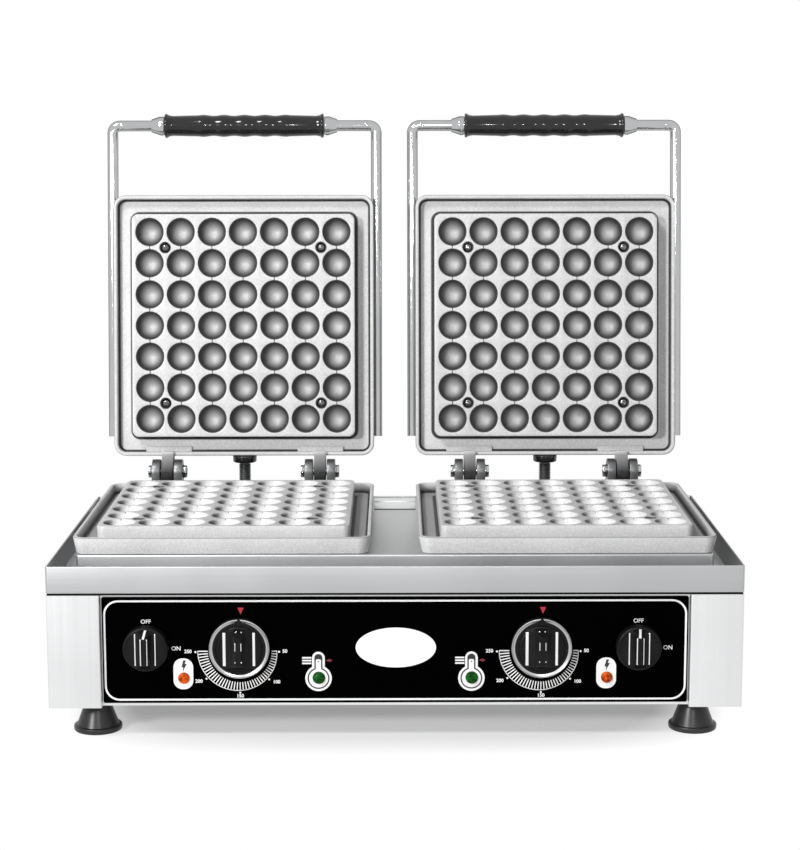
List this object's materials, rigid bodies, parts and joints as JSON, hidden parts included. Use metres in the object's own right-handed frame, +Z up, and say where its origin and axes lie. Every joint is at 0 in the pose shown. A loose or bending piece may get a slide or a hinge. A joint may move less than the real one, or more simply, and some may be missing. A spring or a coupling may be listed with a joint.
{
  "type": "bubble waffle maker",
  "caption": "Counter-top bubble waffle maker: side-by-side hinged cast plates with round cavities on a stainless box with drip tray and dials, lids shown open.",
  "frame": {"origin": "centre of the footprint's bounding box, on the worktop under the feet, lids open", "axes": "+X to the right seen from the front, +Y to the back where the hinges are, +Z up"},
  "size_m": [0.58, 0.413, 0.5182],
  "materials": {
    "stainless": "brushed stainless sheet",
    "cover_steel": "brushed stainless sheet",
    "hinge_steel": "satin steel",
    "cast_aluminium": "fine sand-cast texture",
    "chrome": "bright plated",
    "fascia": "gloss black film with white print",
    "knob": "semi-gloss black",
    "grip": "satin black, moulded",
    "foot_rubber": "dark rubber",
    "seal": "black silicone",
    "amber_lens": "clear amber lens",
    "green_lens": "clear green lens",
    "control_body": "moulded insulating body",
    "element_steel": "heat-darkened steel tube",
    "gland_plastic": "black nylon"
  },
  "bodies": {
    "cabinet": {"base_plate": "stainless", "left_side_panel": "stainless", "right_side_panel": "stainless", "front_panel": "stainless", "rear_panel": "stainless", "top_tray": "stainless", "control_fascia": "fascia", "tray_seal": "seal", "foot_front_left": "foot_rubber", "foot_rear_left": "foot_rubber", "power_lamp_left": "amber_lens", "heat_lamp_left": "green_lens", "thermostat_left": "control_body", "power_switch_left": "control_body", "lower_pan_left": "cast_aluminium", "lower_plate_left": "cast_aluminium", "lower_element_left": "element_steel", "hinge_bracket_left_outer": "hinge_steel", "hinge_bracket_left_inner": "hinge_steel", "hinge_bolt_left_outer": "chrome", "hinge_bolt_left_inner": "chrome", "foot_front_right": "foot_rubber", "foot_rear_right": "foot_rubber", "power_lamp_right": "amber_lens", "heat_lamp_right": "green_lens", "thermostat_right": "control_body", "power_switch_right": "control_body", "lower_pan_right": "cast_aluminium", "lower_plate_right": "cast_aluminium", "lower_element_right": "element_steel", "hinge_bracket_right_outer": "hinge_steel", "hinge_bracket_right_inner": "hinge_steel", "hinge_bolt_right_outer": "chrome", "hinge_bolt_right_inner": "chrome", "terminal_block": "control_body", "cable_gland": "gland_plastic"},
    "lid_left": {"lid_pan_left": "cast_aluminium", "lid_plate_left": "cast_aluminium", "lid_element_left": "element_steel", "lid_cover_left": "cover_steel", "handle_frame_left": "chrome", "handle_grip_left": "grip", "handle_collar_left_left": "chrome", "handle_collar_left_right": "chrome"},
    "thermostat_dial_left": {"thermostat_knob_left": "knob"},
    "switch_dial_left": {"switch_knob_left": "knob"},
    "stop_left": {"stop_screw_left": "chrome", "stop_buffer_left": "foot_rubber"},
    "lid_right": {"lid_pan_right": "cast_aluminium", "lid_plate_right": "cast_aluminium", "lid_element_right": "element_steel", "lid_cover_right": "cover_steel", "handle_frame_right": "chrome", "handle_grip_right": "grip", "handle_collar_right_left": "chrome", "handle_collar_right_right": "chrome"},
    "thermostat_dial_right": {"thermostat_knob_right": "knob"},
    "switch_dial_right": {"switch_knob_right": "knob"},
    "stop_right": {"stop_screw_right": "chrome", "stop_buffer_right": "foot_rubber"}
  },
  "joints": [
    {"name": "lid_hinge_left", "type": "hinge", "parent": "cabinet", "child": "lid_left", "pos_m": [-0.1478, 0.12553, 0.172], "axis": [1, 0, 0], "range_deg": [0, 97.45]},
    {"name": "thermostat_turn_left", "type": "hinge", "parent": "cabinet", "child": "thermostat_dial_left", "pos_m": [-0.13, -0.18747, 0.0795], "axis": [0, 1, 0], "range_deg": [0, 270]},
    {"name": "switch_turn_left", "type": "hinge", "parent": "cabinet", "child": "switch_dial_left", "pos_m": [-0.208, -0.18747, 0.0795], "axis": [0, 1, 0], "range_deg": [0, 90]},
    {"name": "stop_adjust_left", "type": "slide", "parent": "cabinet", "child": "stop_left", "axis": [0, 0, 1], "range_m": [-0.006, 0]},
    {"name": "lid_hinge_right", "type": "hinge", "parent": "cabinet", "child": "lid_right", "pos_m": [0.1478, 0.12553, 0.172], "axis": [1, 0, 0], "range_deg": [0, 97.45]},
    {"name": "thermostat_turn_right", "type": "hinge", "parent": "cabinet", "child": "thermostat_dial_right", "pos_m": [0.122, -0.18747, 0.0795], "axis": [0, 1, 0], "range_deg": [0, 270]},
    {"name": "switch_turn_right", "type": "hinge", "parent": "cabinet", "child": "switch_dial_right", "pos_m": [0.203, -0.18747, 0.0795], "axis": [0, 1, 0], "range_deg": [0, 90]},
    {"name": "stop_adjust_right", "type": "slide", "parent": "cabinet", "child": "stop_right", "axis": [0, 0, 1], "range_m": [-0.006, 0]}
  ]
}
